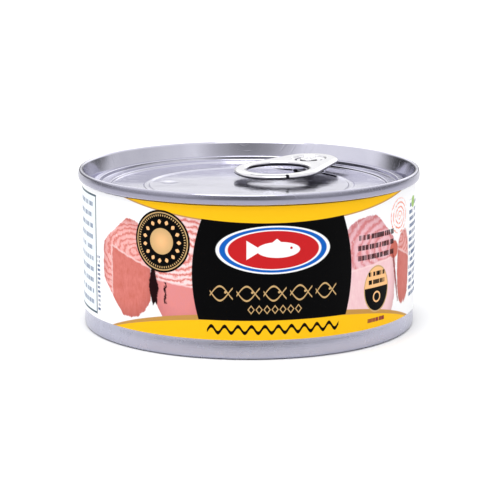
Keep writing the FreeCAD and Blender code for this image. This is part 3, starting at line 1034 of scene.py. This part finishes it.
rows = {
    "fishAt": 11.9,
    "fishPitch": 6.4,
    "fishHalf": 16.0,
    "fishTall": 1.75,
    "fishLength": 2.75,
    "fishLine": 0.42,
    "lozengeAt": 8.0,
    "lozengePitch": 1.9,
    "lozengeHalf": 6.6,
    "lozengeTall": 0.95,
    "lozengeLine": 0.34,
    "waveAt": 3.1,
    "waveHalf": 16.3,
    "waveTurns": 1.96,
    "waveHeight": 0.8,
    "waveLine": 0.46,
}


def friezes(colour, a, h):
    # a row of open fish, a row of lozenges and a wave
    inks = labelInks
    within = shown(abs(a) - rows["fishHalf"])
    u = a - (a / rows["fishPitch"]).of("ROUND") * rows["fishPitch"]
    curve = abs(((u + 0.35) * 0.78).of("COSINE")) * rows["fishTall"]
    strokes = shown(outline(abs(h - rows["fishAt"]) - curve, rows["fishLine"]), 0.07)
    strokes = strokes * shown(abs(u) - rows["fishLength"])
    colour = colour.mixed(strokes * within, inks["gold"])
    colour = colour.mixed(shown(disc(u, h, 1.0, rows["fishAt"] + 0.3, 0.3)) * within, inks["gold"])
    v = a - (a / rows["lozengePitch"]).of("ROUND") * rows["lozengePitch"]
    lozenge = abs(v) * 1.3 + abs(h - rows["lozengeAt"]) - rows["lozengeTall"]
    strokes = shown(outline(lozenge, rows["lozengeLine"]), 0.06) * shown(abs(a) - rows["lozengeHalf"])
    colour = colour.mixed(strokes, inks["gold"])
    crest = (a * rows["waveTurns"]).of("SINE") * rows["waveHeight"]
    wave = abs(h - rows["waveAt"] - crest) - rows["waveLine"]
    return colour.mixed(shown(wave, 0.07) * shown(abs(a) - rows["waveHalf"]), inks["black"])


sidePrint = {  # columns of dashes: left, right, foot, top, pitch, height, seed and word scale
    "lines": (22.0, 35.6, 17.2, 24.6, 2.5, 1.25, 1.0, 1.5),
    "linesStrength": 0.9,
    "egg": (28.6, 10.2, 4.4, 5.6),
    "eggLine": 0.35,
    "capFoot": 10.6,
    "capLines": (25.6, 31.6, 11.0, 15.0, 2.0, 1.1, 4.0, 1.1),
    "ring": (28.6, 8.2, 1.2),
    "footLines": (25.4, 32.0, 1.7, 3.3, 1.6, 1.0, 7.0, 1.3),
}


def sideFacts(colour, a, h):
    inks = labelInks
    colour = colour.mixed(dashes(a, h, *sidePrint["lines"]) * sidePrint["linesStrength"], inks["gap"])
    egg = oval(a, h, *sidePrint["egg"]) - 0.2
    colour = colour.mixed(shown(egg), inks["gold"])
    egg = egg + sidePrint["eggLine"]
    colour = colour.mixed(shown(egg), inks["black"])
    colour = colour.mixed(shown(egg.most(sidePrint["capFoot"] - h)), inks["paleGold"])
    colour = colour.mixed(dashes(a, h, *sidePrint["capLines"]), inks["black"])
    colour = colour.mixed(shown(outline(disc(a, h, *sidePrint["ring"]), 0.4)), inks["paleGold"])
    return colour.mixed(dashes(a, h, *sidePrint["footLines"]), inks["meatShade"])


backShape = {
    "table": (-92.0, -52.6, 1.9, 31.4),
    "tableColumns": ((-70.0, -54.6, 2.9, 30.4, 2.75, 1.1, 12.0, 1.3),
                     (-90.0, -74.0, 2.9, 30.4, 2.75, 1.0, 15.0, 0.9)),
    "columnStrength": 0.75,
    "tableLine": 0.5,
    "columns": ((-51.9, -50.5, 2.6, 17.0, 1.1, 0.6, 18.0, 1.4),
                (45.5, 78.0, 4.5, 29.5, 1.75, 0.95, 21.0, 1.1)),
    "leaf": (49.4, 28.6, 1.8, 1.5),
    "bars": (86.0, 112.0, 7.0, 26.0),
    "barScale": 2.3,
}


def backPrint(colour, a, h):
    inks = labelInks
    table = slab(a, h, *backShape["table"])
    colour = colour.mixed(shown(table), inks["tableWash"])
    for column in backShape["tableColumns"]:
        colour = colour.mixed(dashes(a, h, *column) * backShape["columnStrength"], inks["smallText"])
    colour = colour.mixed(shown(outline(table, backShape["tableLine"])), inks["tableLine"])
    for column in backShape["columns"]:
        colour = colour.mixed(dashes(a, h, *column), inks["smallText"])
    colour = colour.mixed(shown(oval(a, h, *backShape["leaf"]), 0.15), inks["leaf"])
    bars = a.noise(a.vector(a * backShape["barScale"], 0.0, 3.0), 1.0, 1.0, 0.5, "2D").limited(0.5, 0.52)
    return colour.mixed(shown(slab(a, h, *backShape["bars"])) * bars, inks["black"])


def makeLabelPrint():
    material, shader, wire = newMaterial("labelPrint", {"Specular IOR Level": 0.04})
    wrap = wire.node("UVMap", {"uv_map": "Wrap"})
    a, h = wrap.parts()[:2]  # along the label and up it
    colour = a.noise(wrap, 0.35, 3.0).between(labelInks["paper"], labelInks["warmPaper"])
    for layer in (fishPictures, yellowLenses, blackPanel, medallion, badge, friezes, sideFacts, backPrint):
        colour = layer(colour, a, h)
        print("label ink:", layer.__name__)
    fibres = a.noise(wrap, labelShape["fibreScale"], 4.0, 0.6)
    bump = wire.node("Bump", {}, {"Strength": labelShape["fibreBump"], "Distance": labelShape["fibreDepth"],
                                  "Height": fibres})
    roughness = fibres * labelShape["roughnessSpread"] + labelShape["roughness"]
    plug(shader, Base_Color=colour, Roughness=roughness, Normal=bump)
    return material


def makeLabel(material):
    paper = labelShape["paper"]
    radius = wallRadius + paper / 2
    length = 2 * math.pi * radius + labelShape["overlap"]
    height = labelTop - labelFoot
    mesh = bmesh.new()
    bmesh.ops.create_grid(mesh, x_segments=labelShape["columns"], y_segments=labelShape["rows"], size=0.5)
    bmesh.ops.scale(mesh, verts=mesh.verts, vec=(length, height, 1))
    bmesh.ops.translate(mesh, verts=mesh.verts, vec=(0, height / 2, 0))
    wrap = mesh.loops.layers.uv.new("Wrap")
    bake = mesh.loops.layers.uv.new("OFBake")
    strips = labelShape["bakeStrips"]  # the bake map holds the label in strips, one above the other
    endMargin, sideMargin = labelShape["bakeMargin"], labelShape["stripMargin"]
    for face in mesh.faces:
        strip = int((face.calc_center_median().x / length + 0.5) * strips)
        for loop in face.loops:
            place = loop.vert.co
            loop[wrap].uv = (place.x - labelShape["artShift"], place.y + labelShape["artRise"])
            along = (place.x / length + 0.5) * strips - strip
            up = sideMargin + (1 - 2 * sideMargin) * place.y / height
            loop[bake].uv = (endMargin + (1 - 2 * endMargin) * along, (strip + up) / strips)
    bmesh.ops.solidify(mesh, geom=mesh.faces[:], thickness=-paper)
    liftFrom = length / 2 - labelShape["overlap"] - labelShape["liftRun"]
    for vert in mesh.verts:
        # rolls the sheet round the wall, its last end lifted over its first
        angle = vert.co.x / radius
        run = (vert.co.x - liftFrom) / labelShape["liftRun"]
        lift = (paper + labelShape["lapGap"]) * min(max(run, 0.0), 1.0)
        lift += max(run - 1, 0.0) * labelShape["lapRise"]
        out = wallRadius + lift + (paper if vert.co.z < paper / 2 else 0.0)
        vert.co = Vector((out * math.sin(angle), -out * math.cos(angle), labelFoot + vert.co.y)) * mm
    piece = finishMesh("printedLabel", mesh, material)
    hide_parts("label")
    return piece


# floor, light and camera

studio = {
    "floorRadius": 4.0,
    "floorTones": (0.92, 0.95),
    "skyBack": 1.05,
    "skyFront": 0.16,
    "lowSky": (0.88, 0.45),
    "frontReach": (0.7, 0.98),
    "horizonShade": 0.8,
    "horizonReach": (0.17, 0.08),
    "backCard": 0.5,
    "cardReach": (0.5, 0.8),
    "cardFoot": (0.25, 0.32),
    "cardTop": (0.6, 0.5),
    "sideShade": ((-0.643, 0.766, 0.75, 0.8), (1.0, 0.0, 0.3, 0.5)),  # x, y, how dark and how narrow
    "sideCore": 0.97,
    "sunStrength": 1.4,
    "sunAngle": 40.0,
    "sunTilt": (17.0, -6.0),
}


def makeStudio():
    mesh = bmesh.new()
    bmesh.ops.create_circle(mesh, cap_ends=True, segments=96, radius=studio["floorRadius"])
    data = bpy.data.meshes.new("floor")
    mesh.to_mesh(data)
    mesh.free()
    material, shader, wire = newMaterial("floorPaper", {"Roughness": 0.9, "Specular IOR Level": 0.1})
    cloud = wire.noise(wire.node("TexCoord", out=3), 3.0)
    plug(shader, Base_Color=cloud.between(*[(tone, tone, tone, 1.0) for tone in studio["floorTones"]]))
    data.materials.append(material)
    floor = bpy.data.objects.new("floor", data)
    bpy.context.scene.collection.objects.link(floor)

    world = bpy.data.worlds.new("studio")
    bpy.context.scene.world = world
    world.use_nodes = True
    wire = Wire(world.node_tree)
    background = next(node for node in world.node_tree.nodes if node.type == "BACKGROUND")
    x, y, z = wire.node("TexCoord").parts()
    low = z.limited(*studio["lowSky"])
    front = (y * -1).limited(*studio["frontReach"]) * low
    level = front * (studio["skyFront"] - studio["skyBack"]) + studio["skyBack"]
    for sideX, sideY, shade, spread in studio["sideShade"]:
        side = (x * sideX + y * sideY).limited(spread, studio["sideCore"]) * low
        level = level * (1 - side * shade)
    level = level * (1 - z.limited(*studio["horizonReach"]) * studio["horizonShade"])
    card = y.limited(*studio["cardReach"]) * z.limited(*studio["cardFoot"]) * z.limited(*studio["cardTop"])
    level = level * (1 + card * studio["backCard"])
    wire.tree.links.new(level.socket, background.inputs["Strength"])
    background.inputs["Color"].default_value = (1, 1, 1, 1)

    sun = bpy.data.lights.new("softTop", "SUN")
    sun.energy = studio["sunStrength"]
    sun.angle = math.radians(studio["sunAngle"])
    lamp = bpy.data.objects.new("softTop", sun)
    lamp.rotation_euler = [math.radians(turn) for turn in (*studio["sunTilt"], 0)]
    bpy.context.scene.collection.objects.link(lamp)


view = {
    "distance": 0.5,
    "elevation": 11.35,
    "lens": 139.67,
    "sensor": 36.0,
    "shift": (0.0020, -0.0145),
}


def makeCamera():
    camera = bpy.data.cameras.new("camera")
    camera.lens = view["lens"]
    camera.sensor_width = view["sensor"]
    camera.shift_x, camera.shift_y = view["shift"]
    camera.clip_start = 0.01
    holder = bpy.data.objects.new("camera", camera)
    aim = Vector((0, 0, canHeight * mm / 2))
    up = math.radians(view["elevation"])
    holder.location = aim + Vector((0, -math.cos(up), math.sin(up))) * view["distance"]
    holder.rotation_euler = (aim - holder.location).to_track_quat("-Z", "Y").to_euler()
    bpy.context.scene.collection.objects.link(holder)
    bpy.context.scene.camera = holder


bpy.context.scene.view_settings.view_transform = "Standard"
makeCamera()
makeStudio()
print("studio ready")
silver = makeTinplate()
makeCanBody(silver)
print("can body done")
lidMetal = makeLidSheet()
makeLid(lidMetal)
makeRivetBoss(lidMetal)
print("lid done")
tabSheet = makeTabMetal()
makePullTab(tabSheet)
makeRivet(tabSheet)
print("pull tab done")
makeLabel(makeLabelPrint())
print("label done")
